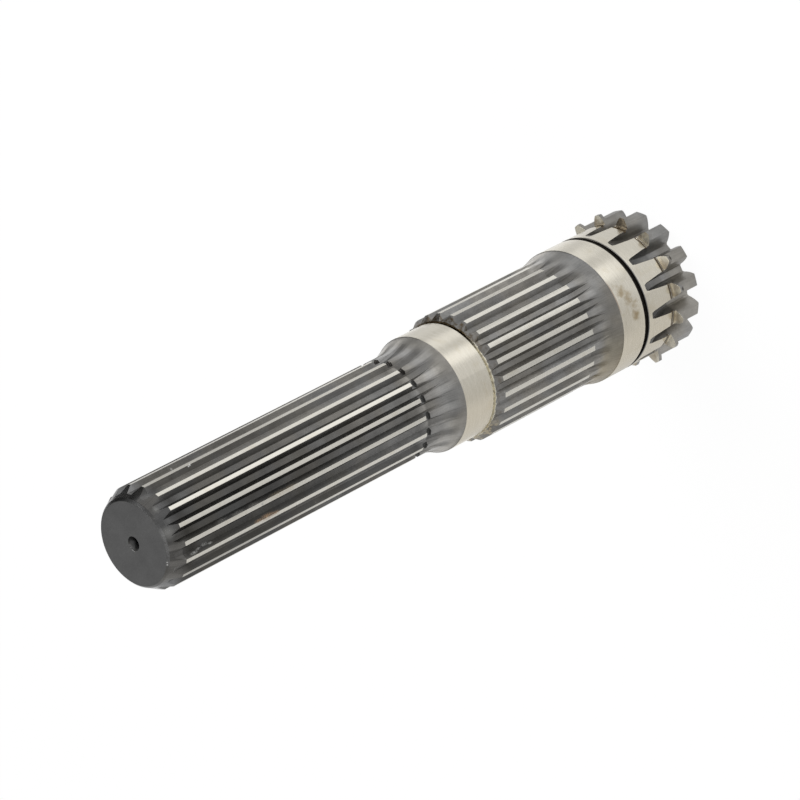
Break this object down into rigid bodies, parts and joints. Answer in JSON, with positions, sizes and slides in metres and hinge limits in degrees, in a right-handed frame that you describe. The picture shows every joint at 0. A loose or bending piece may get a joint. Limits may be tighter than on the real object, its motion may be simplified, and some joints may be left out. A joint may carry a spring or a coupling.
{
  "type": "differential shaft",
  "caption": "Stepped steel shaft with a long and a short spline, two ground bearing seats, a ring groove and a spur gear cut on its end.",
  "frame": {"origin": "centre of the gear's end face, on which the shaft stands", "axes": "+Z runs along the shaft's axis, from the gear up to the end of the long spline; +X passes through the top of one tooth of the long spline"},
  "size_m": [0.0734, 0.0736, 0.334],
  "materials": {
    "steel": "dark hardened steel, ground bright on the tops of the spline teeth and on the seats"
  },
  "bodies": {
    "root": {"shaft": "steel"}
  },
  "joints": []
}
